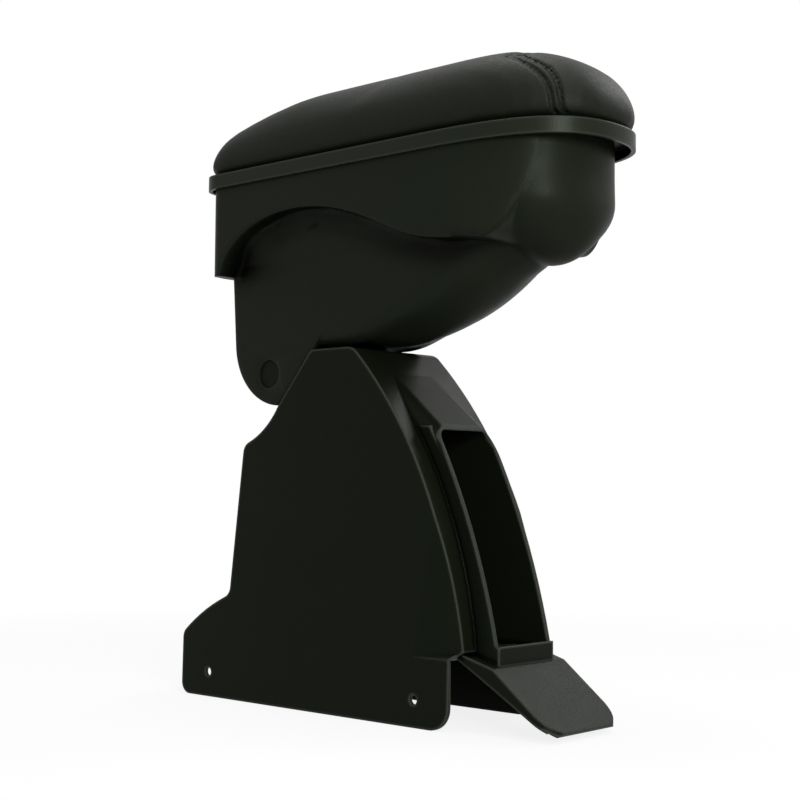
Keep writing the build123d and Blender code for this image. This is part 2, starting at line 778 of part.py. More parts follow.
with BuildPart() as arm_body:
    add(hull_outer)
    add(box_outer)
    add(arm_cavity.part, mode=Mode.SUBTRACT)
    # The knuckle's hollow, open downwards and to the rear, where the bracket sits
    with BuildSketch(Plane.XZ):
        with BuildLine():
            Polyline(
                (hollow_rear, floor_z - wall),
                (hollow_front, floor_z - wall),
                (hollow_front, hollow_low),
                (lid_rear, hollow_low),
                (lid_rear, tail_low),
                (hollow_rear, tail_low),
                close=True,
            )
        make_face()
    extrude(amount=hull_half - ear_wall, both=True, mode=Mode.SUBTRACT)
    for side in (-1, 1):
        with BuildSketch(Plane.XZ.offset(side * ear_inner)):
            with Locations(pivot):
                Circle(ear_boss_r)
        extrude(amount=side * (ear_boss_depth - ear_wall))
        with BuildSketch(Plane.XZ.offset(side * hull_half)):
            with Locations(pivot):
                Circle(cap_r + seat_fit)
        extrude(amount=-side * (cap_recess + cap_thick), mode=Mode.SUBTRACT)
        with BuildSketch(Plane.XZ.offset(side * hull_half)):
            with Locations(pivot):
                Circle(cap_r - cap_ledge)
        extrude(amount=-side * counterbore_depth, mode=Mode.SUBTRACT)
    with BuildSketch(Plane.XZ):
        with Locations(pivot):
            Circle(pivot_bolt_r + seat_fit)
    extrude(amount=hull_half, both=True, mode=Mode.SUBTRACT)
    # The box's knuckles of the lid hinge, one at each end of each pin
    for side in (-1, 1):
        for end in (-1, 1):
            knuckle_y = side * hinge_spread + end * (hinge_knuckle / 2 + body_gap)
            with BuildSketch(Plane.XZ.offset(-knuckle_y)):
                with Locations((hinge_x, hinge_z)):
                    Circle(hinge_barrel_r)
                with BuildLine():
                    Polyline(
                        (hinge_x, hinge_z - hinge_barrel_r),
                        (box_rear + wall / 2, hinge_z - 3 * hinge_barrel_r),
                        (box_rear + wall / 2, hinge_z + hinge_barrel_r),
                        (hinge_x, hinge_z + hinge_barrel_r),
                        close=True,
                    )
                make_face()
                with Locations((hinge_x, hinge_z)):
                    Circle(hinge_pin_r + run_fit, mode=Mode.SUBTRACT)
            extrude(amount=-end * hinge_end_knuckle)
arm_body.part.label = "arm_body"
export_step(arm_body.part, "parts/arm_body.step")

pin_length = hinge_knuckle + 2 * body_gap + 2 * hinge_end_knuckle
with BuildPart() as lid_hinge_pins:
    for side in (-1, 1):
        with BuildSketch(Plane.XZ.offset(side * hinge_spread - pin_length / 2)):
            with Locations((hinge_x, hinge_z)):
                Circle(hinge_pin_r)
        extrude(amount=pin_length)
lid_hinge_pins.part.label = "lid_hinge_pins"
export_step(lid_hinge_pins.part, "parts/lid_hinge_pins.step")

lid_face = d_outline(lid_half, lid_rear, lid_front, lid_rear_round)
lid_inside = d_outline(
    lid_half - band_wall, lid_rear + band_wall, lid_front - band_wall, lid_rear_round - band_wall
)
board_face = d_outline(
    lid_half - board_inset, lid_rear + board_inset, lid_front - board_inset, lid_rear_round - board_inset
)
pad_face = d_outline(lid_half + pad_bulge, pad_rear, pad_front, lid_rear_round + pad_bulge)
board_room = board_inset - soft_gap
board_recess = d_outline(
    lid_half - board_room, lid_rear + board_room, lid_front - board_room, lid_rear_round - board_room
)

with BuildPart() as lid_frame:
    with BuildSketch(Plane.XY.offset(band_bottom)):
        add(lid_face)
    extrude(amount=band_height)
    with BuildSketch(Plane.XY.offset(band_bottom)):
        add(lid_inside)
    extrude(amount=band_height - lid_plate, mode=Mode.SUBTRACT)
    # Stiffening ribs across the plate, inside the box's opening
    with BuildSketch(Plane.XY.offset(lid_underside)):
        with Locations(*[(screw_first + (i + 0.5) * screw_pitch, 0) for i in range(2)]):
            Rectangle(lid_rib, 2 * (box_half - 2 * wall))
    extrude(amount=-lid_rib_height)
    with BuildSketch(Plane.XY.offset(lid_underside)):
        with Locations(*screw_places):
            Circle(screw_r + seat_fit)
    extrude(amount=lid_plate, mode=Mode.SUBTRACT)
    # The lid's knuckles, each on a web from the band
    for side in (-1, 1):
        with BuildSketch(Plane.XZ.offset(side * hinge_spread - hinge_knuckle / 2)):
            with Locations((hinge_x, hinge_z)):
                Circle(hinge_barrel_r)
            with BuildLine():
                Polyline(
                    (hinge_x - hinge_barrel_r, hinge_z),
                    (hinge_x + hinge_barrel_r, hinge_z),
                    (lid_rear + band_wall, band_bottom + band_wall),
                    (lid_rear, band_bottom + band_wall),
                    close=True,
                )
            make_face()
            with Locations((hinge_x, hinge_z)):
                Circle(hinge_pin_r + run_fit, mode=Mode.SUBTRACT)
        extrude(amount=hinge_knuckle)
lid_frame.part.label = "lid_frame"
export_step(lid_frame.part, "parts/lid_frame.step")

with BuildPart() as pad_board:
    with BuildSketch(Plane.XY.offset(lid_top)):
        add(board_face)
    extrude(amount=board_thick)
    with BuildSketch(Plane.XY.offset(lid_top)):
        with Locations(*screw_places):
            Circle(screw_r + run_fit)
    extrude(amount=screw_bite + seat_fit, mode=Mode.SUBTRACT)
pad_board.part.label = "pad_board"
export_step(pad_board.part, "parts/pad_board.step")

with BuildPart() as pad_screws:
    with BuildSketch(Plane.XY.offset(lid_underside)):
        with Locations(*screw_places):
            Circle(screw_head_r)
    extrude(amount=-screw_head_height)
    with BuildSketch(Plane.XY.offset(lid_underside)):
        with Locations(*screw_places):
            Circle(screw_r)
    extrude(amount=lid_plate + screw_bite)
pad_screws.part.label = "pad_screws"
export_step(pad_screws.part, "parts/pad_screws.step")

with BuildPart() as pad:
    with BuildSketch(Plane.XY.offset(pad_base)):
        add(pad_face)
    extrude(amount=pad_height)
    with BuildSketch(Plane.XZ):
        with BuildLine():
            tail = TangentArc((pad_rear + pad_tail, pad_top), (pad_rear, pad_top - pad_tail_drop), tangent=(-1, 0))
            Polyline(tail @ 1, (pad_rear, pad_base), (pad_front, pad_base), (pad_front, pad_top), tail @ 0)
        make_face()
    extrude(amount=2 * lid_half, both=True, mode=Mode.INTERSECT)
    top_edges = pad.edges().filter_by(lambda edge: edge.center().Z > pad_top - pad_tail_drop - seat_fit)
    fillet(top_edges.filter_by(lambda edge: abs(edge.center().X - pad_rear - pad_tail) > seat_fit), pad_top_round)
    fillet(pad.faces().sort_by(Axis.Z)[0].edges(), pad_foot_round)
    with BuildSketch(Plane.XY.offset(pad_base)):
        add(board_recess)
    extrude(amount=board_thick, mode=Mode.SUBTRACT)
pad.part.label = "pad"
export_step(pad.part, "parts/pad.step")
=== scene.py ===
import math

import bmesh
import bpy
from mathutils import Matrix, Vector
from mathutils.bvhtree import BVHTree


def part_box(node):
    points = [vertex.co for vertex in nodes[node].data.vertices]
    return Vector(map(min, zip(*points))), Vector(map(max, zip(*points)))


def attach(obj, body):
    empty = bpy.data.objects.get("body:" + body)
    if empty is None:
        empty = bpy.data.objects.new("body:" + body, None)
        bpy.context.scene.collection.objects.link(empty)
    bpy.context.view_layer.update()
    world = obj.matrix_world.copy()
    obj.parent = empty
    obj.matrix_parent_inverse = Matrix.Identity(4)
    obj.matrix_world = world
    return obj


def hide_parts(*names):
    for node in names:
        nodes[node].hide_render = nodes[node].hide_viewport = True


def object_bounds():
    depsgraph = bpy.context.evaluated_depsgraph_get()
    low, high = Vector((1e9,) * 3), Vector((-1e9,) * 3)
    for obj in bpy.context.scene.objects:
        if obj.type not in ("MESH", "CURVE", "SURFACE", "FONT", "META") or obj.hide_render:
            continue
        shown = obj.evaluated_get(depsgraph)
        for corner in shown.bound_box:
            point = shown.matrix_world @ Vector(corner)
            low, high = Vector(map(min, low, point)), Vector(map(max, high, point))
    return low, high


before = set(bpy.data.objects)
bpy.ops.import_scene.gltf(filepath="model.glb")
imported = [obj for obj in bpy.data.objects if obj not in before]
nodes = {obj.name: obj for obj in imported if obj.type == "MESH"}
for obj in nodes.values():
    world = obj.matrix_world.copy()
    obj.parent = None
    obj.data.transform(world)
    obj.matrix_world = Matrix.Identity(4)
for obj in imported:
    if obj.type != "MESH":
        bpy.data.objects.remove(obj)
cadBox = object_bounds()
scene = bpy.context.scene
scene.view_settings.view_transform = "Standard"
print("frame loaded:", len(nodes), "nodes")


# helpers for node trees
def newNode(tree, kind, x, y, **values):
    node = tree.nodes.new(kind)
    node.location = (x, y)
    for name, value in values.items():
        setattr(node, name, value)
    return node


def setInputs(node, **values):
    for name, value in values.items():
        node.inputs[name.replace("_", " ")].default_value = value


def newGroup(name, inputs, outputs):
    group = bpy.data.node_groups.new(name, "ShaderNodeTree")
    for label, kind, value in inputs:
        socket = group.interface.new_socket(label, in_out="INPUT", socket_type=kind)
        socket.default_value = value
    for label, kind in outputs:
        group.interface.new_socket(label, in_out="OUTPUT", socket_type=kind)
    start = newNode(group, "NodeGroupInput", -900, 0)
    end = newNode(group, "NodeGroupOutput", 700, 0)
    return group, start, end


# a value stretched to run from low to high
def rampNode(tree, x, y, low, high):
    ramp = newNode(tree, "ShaderNodeMapRange", x, y)
    ramp.inputs["To Min"].default_value = low
    ramp.inputs["To Max"].default_value = high
    return ramp


# moulded plastic: fine grain, slow cloudiness and handling marks, with painted highlights along its
# edges and painted shade in its inner corners
def makeMouldedGrain():
    group, start, end = newGroup(
        "mouldedGrain",
        [
            ("Base Color", "NodeSocketColor", (0.03, 0.03, 0.03, 1)),
            ("Grain Size", "NodeSocketFloat", 900.0),
            ("Roughness", "NodeSocketFloat", 0.5),
            ("Edge Highlight Color", "NodeSocketColor", (0, 0, 0, 1)),
            ("Edge Width", "NodeSocketFloat", 0.002),
            ("Corner Shade Depth", "NodeSocketFloat", 0.01),
        ],
        [("Color", "NodeSocketColor"), ("Roughness", "NodeSocketFloat"), ("Height", "NodeSocketFloat")],
    )
    link = group.links.new
    place = newNode(group, "ShaderNodeNewGeometry", -900, -300)
    grain = newNode(group, "ShaderNodeTexVoronoi", -600, -200, feature="SMOOTH_F1")
    setInputs(grain, Smoothness=0.6)
    link(place.outputs["Position"], grain.inputs["Vector"])
    link(start.outputs["Grain Size"], grain.inputs["Scale"])
    cloud = newNode(group, "ShaderNodeTexNoise", -600, 150)
    setInputs(cloud, Scale=14.0, Detail=4.0, Roughness=0.55)
    link(place.outputs["Position"], cloud.inputs["Vector"])
    rub = newNode(group, "ShaderNodeTexNoise", -600, 400)
    setInputs(rub, Scale=60.0, Detail=6.0, Roughness=0.65, Distortion=0.4)
    link(place.outputs["Position"], rub.inputs["Vector"])
    tone = rampNode(group, -300, 150, 0.86, 1.14)
    link(cloud.outputs["Fac"], tone.inputs["Value"])
    # painted highlight: a lighter colour is added along convex edges, standing in for the lamps' glint
    # on them
    edge = newNode(group, "ShaderNodeAmbientOcclusion", -600, -500, samples=8, only_local=True)
    edge.inside = True
    link(start.outputs["Edge Width"], edge.inputs["Distance"])
    nearEdge = rampNode(group, -300, -500, 1.0, 0.0)
    setInputs(nearEdge, From_Min=0.62, From_Max=0.92)
    link(edge.outputs["AO"], nearEdge.inputs["Value"])
    edgeHighlight = newNode(group, "ShaderNodeVectorMath", -50, -100, operation="SCALE")
    link(start.outputs["Edge Highlight Color"], edgeHighlight.inputs[0])
    link(nearEdge.outputs["Result"], edgeHighlight.inputs["Scale"])
    # painted shade: the colour is darkened in inner corners and under overhangs, where shade falls
    corner = newNode(group, "ShaderNodeAmbientOcclusion", -600, -750, samples=8, only_local=True)
    link(start.outputs["Corner Shade Depth"], corner.inputs["Distance"])
    cornerShade = rampNode(group, -300, -750, 0.05, 1.0)
    setInputs(cornerShade, From_Min=0.66, From_Max=0.97)
    link(corner.outputs["AO"], cornerShade.inputs["Value"])
    toneAndShade = newNode(group, "ShaderNodeMath", -150, 300, operation="MULTIPLY")
    link(tone.outputs["Result"], toneAndShade.inputs[0])
    link(cornerShade.outputs["Result"], toneAndShade.inputs[1])
    shade = newNode(group, "ShaderNodeVectorMath", 0, 200, operation="SCALE")
    link(start.outputs["Base Color"], shade.inputs[0])
    link(toneAndShade.outputs["Value"], shade.inputs["Scale"])
    both = newNode(group, "ShaderNodeVectorMath", 150, 150, operation="ADD")
    link(shade.outputs["Vector"], both.inputs[0])
    link(edgeHighlight.outputs["Vector"], both.inputs[1])
    link(both.outputs["Vector"], end.inputs["Color"])
    rubbed = rampNode(group, -300, 400, -0.07, 0.07)
    link(rub.outputs["Fac"], rubbed.inputs["Value"])
    rough = newNode(group, "ShaderNodeMath", 0, 400, operation="ADD")
    link(start.outputs["Roughness"], rough.inputs[0])
    link(rubbed.outputs["Result"], rough.inputs[1])
    link(rough.outputs["Value"], end.inputs["Roughness"])
    link(grain.outputs["Distance"], end.inputs["Height"])
    return group


# artificial leather: pebbles with creases between them, on soft undulations, with painted shade in its
# folds
def makeLeatherGrain():
    group, start, end = newGroup(
        "leatherGrain",
        [
            ("Base Color", "NodeSocketColor", (0.05, 0.05, 0.05, 1)),
            ("Pebble Size", "NodeSocketFloat", 620.0),
            ("Roughness", "NodeSocketFloat", 0.5),
            ("Fold Shade Depth", "NodeSocketFloat", 0.004),
        ],
        [("Color", "NodeSocketColor"), ("Roughness", "NodeSocketFloat"), ("Height", "NodeSocketFloat")],
    )
    link = group.links.new
    place = newNode(group, "ShaderNodeNewGeometry", -900, -300)
    wobble = newNode(group, "ShaderNodeTexNoise", -800, -500)
    setInputs(wobble, Scale=90.0, Detail=3.0)
    link(place.outputs["Position"], wobble.inputs["Vector"])
    shift = newNode(group, "ShaderNodeVectorMath", -650, -450, operation="MULTIPLY_ADD")
    shift.inputs[1].default_value = (0.004, 0.004, 0.004)
    link(wobble.outputs["Color"], shift.inputs[0])
    link(place.outputs["Position"], shift.inputs[2])
    pebble = newNode(group, "ShaderNodeTexVoronoi", -450, -300, feature="DISTANCE_TO_EDGE")
    link(shift.outputs["Vector"], pebble.inputs["Vector"])
    link(start.outputs["Pebble Size"], pebble.inputs["Scale"])
    crease = rampNode(group, -250, -300, 0.0, 1.0)
    setInputs(crease, From_Max=0.22)
    link(pebble.outputs["Distance"], crease.inputs["Value"])
    cloud = newNode(group, "ShaderNodeTexNoise", -450, 150)
    setInputs(cloud, Scale=11.0, Detail=3.0)
    link(place.outputs["Position"], cloud.inputs["Vector"])
    tone = rampNode(group, -250, 150, 0.85, 1.15)
    link(cloud.outputs["Fac"], tone.inputs["Value"])
    creaseTone = rampNode(group, -50, -150, 0.72, 1.0)
    link(crease.outputs["Result"], creaseTone.inputs["Value"])
    both = newNode(group, "ShaderNodeMath", 100, 50, operation="MULTIPLY")
    link(tone.outputs["Result"], both.inputs[0])
    link(creaseTone.outputs["Result"], both.inputs[1])
    # painted shade: the leather's colour is darkened in its folds and hollows, where shade falls
    fold = newNode(group, "ShaderNodeAmbientOcclusion", -250, 500, samples=8, only_local=True)
    link(start.outputs["Fold Shade Depth"], fold.inputs["Distance"])
    foldShade = rampNode(group, -50, 500, 0.05, 1.0)
    setInputs(foldShade, From_Min=0.5, From_Max=0.92)
    link(fold.outputs["AO"], foldShade.inputs["Value"])
    darkened = newNode(group, "ShaderNodeMath", 250, 50, operation="MULTIPLY")
    link(both.outputs["Value"], darkened.inputs[0])
    link(foldShade.outputs["Result"], darkened.inputs[1])
    shade = newNode(group, "ShaderNodeVectorMath", 400, 200, operation="SCALE")
    link(start.outputs["Base Color"], shade.inputs[0])
    link(darkened.outputs["Value"], shade.inputs["Scale"])
    link(shade.outputs["Vector"], end.inputs["Color"])
    dull = rampNode(group, 100, -300, 0.12, -0.02)
    link(crease.outputs["Result"], dull.inputs["Value"])
    rough = newNode(group, "ShaderNodeMath", 300, -200, operation="ADD")
    link(start.outputs["Roughness"], rough.inputs[0])
    link(dull.outputs["Result"], rough.inputs[1])
    link(rough.outputs["Value"], end.inputs["Roughness"])
    link(crease.outputs["Result"], end.inputs["Height"])
    return group


mouldedGrain = makeMouldedGrain()
leatherGrain = makeLeatherGrain()


# one finish: a grain group, a bump and, on rigid pieces, softened edges
def makeFinish(name, group, settings):
    material = bpy.data.materials.new(name)
    material.use_nodes = True
    tree = material.node_tree
    link = tree.links.new
    shader = tree.nodes["Principled BSDF"]
    grain = newNode(tree, "ShaderNodeGroup", -600, 100, node_tree=group)
    for label, value in settings["grain"].items():
        grain.inputs[label].default_value = value
    link(grain.outputs["Color"], shader.inputs["Base Color"])
    link(grain.outputs["Roughness"], shader.inputs["Roughness"])
    bump = newNode(tree, "ShaderNodeBump", -300, -200)
    setInputs(bump, Strength=settings["bumpStrength"], Distance=settings["bumpDepth"])
    link(grain.outputs["Height"], bump.inputs["Height"])
    if settings.get("edgeRadius"):
        edge = newNode(tree, "ShaderNodeBevel", -600, -300, samples=6)
        setInputs(edge, Radius=settings["edgeRadius"])
        link(edge.outputs["Normal"], bump.inputs["Normal"])
    link(bump.outputs["Normal"], shader.inputs["Normal"])
    for label, value in settings.get("shader", {}).items():
        shader.inputs[label].default_value = value
    return material


# in these finishes the edge colour is a painted highlight along edges, and the corner depth is how far
# painted shade reaches into inner corners
standFinish = {
    "grain": {"Base Color": (0.0038, 0.0051, 0.0029, 1), "Grain Size": 1100.0, "Roughness": 0.33,
              "Edge Highlight Color": (0.026, 0.028, 0.024, 1), "Corner Shade Depth": 0.004},
    "bumpStrength": 0.2,
    "bumpDepth": 0.0004,
    "edgeRadius": 0.0024,
    "shader": {"Specular IOR Level": 0.038, "Specular Tint": (0.9, 1.0, 0.86, 1)},
}
armFinish = {
    "grain": {"Base Color": (0.0062, 0.0078, 0.0050, 1), "Grain Size": 1100.0, "Roughness": 0.42,
              "Edge Highlight Color": (0.004, 0.005, 0.0035, 1), "Corner Shade Depth": 0.024},
    "bumpStrength": 0.2,
    "bumpDepth": 0.0004,
    "edgeRadius": 0.005,
    "shader": {"Specular IOR Level": 0.05, "Specular Tint": (0.9, 1.0, 0.86, 1)},
}
bandFinish = {
    "grain": {"Base Color": (0.0074, 0.0090, 0.0062, 1), "Grain Size": 1300.0, "Roughness": 0.36,
              "Edge Highlight Color": (0.010, 0.011, 0.009, 1)},
    "bumpStrength": 0.2,
    "bumpDepth": 0.0003,
    "edgeRadius": 0.0012,
    "shader": {"Specular IOR Level": 0.08, "Specular Tint": (0.9, 1.0, 0.82, 1)},
}
capFinish = {
    "grain": {"Base Color": (0.0040, 0.0052, 0.0030, 1), "Grain Size": 1500.0, "Roughness": 0.5},
    "bumpStrength": 0.15,
    "bumpDepth": 0.0003,
    "edgeRadius": 0.0006,
    "shader": {"Specular IOR Level": 0.04, "Specular Tint": (0.9, 1.0, 0.82, 1)},
}
steelFinish = {
    "grain": {"Base Color": (0.5, 0.5, 0.47, 1), "Grain Size": 700.0, "Roughness": 0.34},
    "bumpStrength": 0.1,
    "bumpDepth": 0.0002,
    "shader": {"Metallic": 1.0},
}
nylonFinish = {
    "grain": {"Base Color": (0.62, 0.6, 0.54, 1), "Grain Size": 1200.0, "Roughness": 0.45},
    "bumpStrength": 0.1,
    "bumpDepth": 0.0002,
}
padFinish = {
    "grain": {"Base Color": (0.0043, 0.0054, 0.0034, 1), "Pebble Size": 900.0, "Roughness": 0.5},
    "bumpStrength": 0.15,
    "bumpDepth": 0.0004,
    "shader": {"Specular IOR Level": 0.105, "Specular Tint": (0.93, 1.0, 0.86, 1)},
}
threadFinish = {
    "grain": {"Base Color": (0.005, 0.006, 0.004, 1), "Grain Size": 2500.0, "Roughness": 0.6},
    "bumpStrength": 0.4,
    "bumpDepth": 0.0002,
    "shader": {"Specular IOR Level": 0.1},
}

standPlastic = makeFinish("standPlastic", mouldedGrain, standFinish)
armPlastic = makeFinish("armPlastic", mouldedGrain, armFinish)
bandPlastic = makeFinish("bandPlastic", mouldedGrain, bandFinish)
capPlastic = makeFinish("capPlastic", mouldedGrain, capFinish)
zincSteel = makeFinish("zincSteel", mouldedGrain, steelFinish)
naturalNylon = makeFinish("naturalNylon", mouldedGrain, nylonFinish)
padLeather = makeFinish("padLeather", leatherGrain, padFinish)
padThread = makeFinish("padThread", mouldedGrain, threadFinish)

# nodes that aren't named here are zinc plated steel
finishOfNode = {
    "stand_shell": standPlastic,
    "arm_body": armPlastic,
    "lid_frame": bandPlastic,
    "pad_board": bandPlastic,
    "pivot_cap_left": capPlastic,
    "pivot_cap_right": capPlastic,
    "friction_washers": capPlastic,
    "pivot_bushes": naturalNylon,
}
for name, node in nodes.items():
    node.data.materials.clear()
    node.data.materials.append(finishOfNode.get(name, zincSteel))
print("finishes on the CAD nodes")


# helpers for meshes
def newPiece(name, form):
    mesh = bpy.data.meshes.new(name)
    form.to_mesh(mesh)
    form.free()
    piece = bpy.data.objects.new(name, mesh)
    scene.collection.objects.link(piece)
    return piece


def applyModifiers(piece):
    depsgraph = bpy.context.evaluated_depsgraph_get()
    mesh = bpy.data.meshes.new_from_object(piece.evaluated_get(depsgraph))
    piece.modifiers.clear()
    piece.data = mesh


def smoothStep(value):
    share = min(max(value, 0.0), 1.0)
    return share * share * (3 - 2 * share)


# the arm's body: the CAD solid with a rounder belly, a fuller front, a shadow line under its step
# and softer rear corners
bodySettings = {
    # the belly's sides are lifted between two places along it, less and less up to a height
    "lift": 0.0082,
    "liftFrom": 0.020,
    "liftTo": 0.070,
    "liftSide": 0.028,
    "fadeHeight": 0.060,
    "bellyX": 0.033,
    "bellyZ": 0.233,
    "bellyRadius": 0.150,
    "bellyMost": 0.270,
    # the box's rounded front is pushed down and forward
    "bowlDrop": 0.0050,
    "bowlPush": 0.0030,
    "bowlFrom": 0.134,
    "bowlRun": 0.026,
    "bowlSide": 0.058,
    # the step climbs from its foot to a crest and falls again towards the front
    "stepStart": -0.077,
    "stepCrest": -0.004,
    "stepEnd": 0.1485,
    "stepFoot": 0.2845,
    "stepTop": 0.3219,
    "stepLow": 0.2801,
    "stepPower": 2.6,
    # the hull's side is set back under the step, and the box's outer skin stays
    "setBack": 0.005,
    "setBackStart": -0.064,
    "setBackRise": 0.035,
    "setBackEnd": 0.040,
    "setBackSide": 0.030,
    "setBackRamp": 0.018,
    "setBackEdge": 0.003,
    "setBackHold": 0.006,
    "setBackFade": 0.024,
    "outerSkin": 0.001,
    # the box's rear corners
    "rearRound": 0.0046,
    "rearFrom": -0.070,
    "rearSide": 0.035,
    # the mesh
    "facet": 0.006,
    "mostCuts": 8,
    "sharpAngle": 28,
}
bodyLow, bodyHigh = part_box("arm_body")


# how far the rounded front is pushed forward, and how far the belly is lifted there
def bellyMove(place):
    s = bodySettings
    run = min(max(place.x - s["bellyX"], 0.0), s["bellyRadius"])
    belly = s["bellyZ"] + s["bellyRadius"] - math.sqrt(s["bellyRadius"] ** 2 - run ** 2)
    along = smoothStep((place.x - s["liftFrom"]) / (s["liftTo"] - s["liftFrom"]))
    across = smoothStep(abs(place.y) / s["liftSide"])
    fade = 1 - smoothStep((place.z - min(belly, s["bellyMost"])) / s["fadeHeight"])
    bowl = smoothStep((place.x - s["bowlFrom"]) / s["bowlRun"])
    bowl *= 1 - smoothStep(abs(place.y) / s["bowlSide"])
    return fade * s["bowlPush"] * bowl, fade * (s["lift"] * along * across - s["bowlDrop"] * bowl)


# the height of the step in the box's side
def stepLine(x):
    s = bodySettings
    if x < s["stepCrest"]:
        share = min(max((x - s["stepStart"]) / (s["stepCrest"] - s["stepStart"]), 0.0), 1.0)
        return s["stepTop"] - (s["stepTop"] - s["stepFoot"]) * (1 - share) ** s["stepPower"]
    fall = smoothStep((x - s["stepCrest"]) / (s["stepEnd"] - s["stepCrest"]))
    return s["stepTop"] - (s["stepTop"] - s["stepLow"]) * fall


# how far the hull's side is set back under the step
def sideSetBack(place):
    s = bodySettings
    if abs(place.y) > bodyHigh.y - s["outerSkin"]:
        return 0.0
    below = stepLine(place.x) - place.z
    depth = smoothStep((below + s["setBackEdge"]) / s["setBackEdge"])
    depth *= 1 - smoothStep((below - s["setBackHold"]) / s["setBackFade"])
    along = smoothStep((place.x - s["setBackStart"]) / s["setBackRise"])
    along *= smoothStep((s["stepEnd"] - place.x) / s["setBackEnd"])
    across = smoothStep((abs(place.y) - s["setBackSide"]) / s["setBackRamp"])
    return -math.copysign(s["setBack"] * depth * along * across, place.y)


# how far the box's rear corners are drawn forward
def cornerPull(place):
    s = bodySettings
    depth = smoothStep((s["rearFrom"] - place.x) / (s["rearFrom"] - bodyLow.x))
    across = smoothStep((abs(place.y) - s["rearSide"]) / (bodyHigh.y - s["rearSide"]))
    return s["rearRound"] * depth * across


def makeArmBody():
    s = bodySettings
    form = bmesh.new()
    form.from_mesh(nodes["arm_body"].data)
    bmesh.ops.remove_doubles(form, verts=form.verts, dist=0.00001)
    top = s["bellyMost"] + s["fadeHeight"]
    for _ in range(s["mostCuts"]):
        longEdges = [
            edge for edge in form.edges
            if edge.calc_length() > s["facet"]
            and max(v.co.z for v in edge.verts) > s["bellyZ"]
            and min(v.co.z for v in edge.verts) < top
        ]
        if not longEdges:
            break
        bmesh.ops.subdivide_edges(form, edges=longEdges, cuts=1)
        bmesh.ops.triangulate(form, faces=[face for face in form.faces if len(face.verts) > 3])
    for vertex in form.verts:
        push, lift = bellyMove(vertex.co)
        vertex.co += Vector((cornerPull(vertex.co) + push, sideSetBack(vertex.co), lift))
    for face in form.faces:
        face.smooth = True
    body = newPiece("armBody", form)
    body.data.set_sharp_from_angle(angle=math.radians(s["sharpAngle"]))
    shading = body.modifiers.new("shading", "WEIGHTED_NORMAL")
    shading.keep_sharp = True
    applyModifiers(body)
    body.data.materials.append(armPlastic)
    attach(body, "arm")
    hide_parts("arm_body")
    return body


armBody = makeArmBody()
print("arm body rounded:", len(armBody.data.polygons), "faces")


# the pad: rings of the lid's outline, drawn in towards a crowned top
padSettings = {
    # its outline and its height
    "baseGap": 0.0003,
    "frontBulge": 0.0020,
    "frontStart": 0.110,
    "frontFullness": 2.64,
    "rearRound": 0.024,
    "leastRound": 0.004,
    "ringPoints": 220,
    "crown": 1.09,
    "frontDropStart": 0.144,
    "frontDropEnd": 0.220,
    "frontDrop": 0.49,
    "rearDrop": 0.435,
    "rearDropRun": 0.095,
    "rearDropPower": 1.6,
    # the front seam, two sunk lines
    "seamX": 0.158,
    "seamZ": 0.3945,
    "seamFall": 0.0347,
    "seamSweep": 0.0325,
    "seamPower": 2.4,
    "seamStretch": 1.6,
    "seamFoot": 0.002,
    "seamGap": 0.0042,
    "seamDepth": 0.0017,
    "seamWidth": 0.0010,
    "seamLeast": 0.01,
    # the cloth
    "voxel": 0.0045,
    "heldHeight": 0.003,
    "pressure": 4.0,
    "frames": 20,
    "mostMove": 0.0025,
    "shrink": 0.0012,
    "easeShare": 0.5,
    "easeSteps": 10,
    "subdivisions": 2,
}
lidLow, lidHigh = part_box("lid_frame")
padBase = lidHigh.z + padSettings["baseGap"]


# half the outline's width at a place along its length
def outlineHalf(x, half, rear, front, rearRound):
    start = padSettings["frontStart"]
    if x > start:
        share = min((x - start) / (front - start), 1.0)
        power = padSettings["frontFullness"]
        return half * (1 - share ** power) ** (1 / power)
    if x < rear + rearRound:
        depth = rear + rearRound - x
        return half - rearRound + math.sqrt(max(rearRound ** 2 - depth ** 2, 0))
    return half


# points round the outline, evenly spaced along it
def outlineRing(half, rear, front, rearRound, count):
    steps = 400
    side = []
    for i in range(steps + 1):
        turn = math.pi * i / steps
        x = (front + rear) / 2 - (front - rear) / 2 * math.cos(turn)
        side.append(Vector((x, -outlineHalf(x, half, rear, front, rearRound), 0)))
    loop = [Vector((rear, 0, 0))] + side + [Vector((p.x, -p.y, 0)) for p in reversed(side)]
    lengths = [0.0]
    for a, b in zip(loop, loop[1:] + loop[:1]):
        lengths.append(lengths[-1] + (b - a).length)
    ring, k = [], 0
    for i in range(count):
        want = lengths[-1] * i / count
        while lengths[k + 1] < want:
            k += 1
        span = lengths[k + 1] - lengths[k]
        part = (want - lengths[k]) / span if span > 0 else 0
        ring.append(loop[k].lerp(loop[(k + 1) % len(loop)], part))
    return ring


# how far each ring is drawn in, and how high it lies over the pad's base
padRings = [
    (0.0160, 0.0000), (0.0060, 0.0000), (0.0025, 0.0014), (0.0004, 0.0050), (0.0000, 0.0095),
    (0.0010, 0.0185), (0.0035, 0.0265), (0.0075, 0.0335), (0.0120, 0.0378), (0.0170, 0.0405),
    (0.0250, 0.0432), (0.0350, 0.0448), (0.0460, 0.0456), (0.0560, 0.0460),
]


# a ring's height at a place along the pad, which falls towards both ends
def padHeight(x, height):
    s = padSettings
    drop = 0.0
    if x > s["frontDropStart"]:
        share = (x - s["frontDropStart"]) / (s["frontDropEnd"] - s["frontDropStart"])
        drop = s["frontDrop"] * share ** 2
    if x < 0.0:
        drop = s["rearDrop"] * min(-x / s["rearDropRun"], 1.0) ** s["rearDropPower"]
    return s["crown"] * height * (1 - drop)


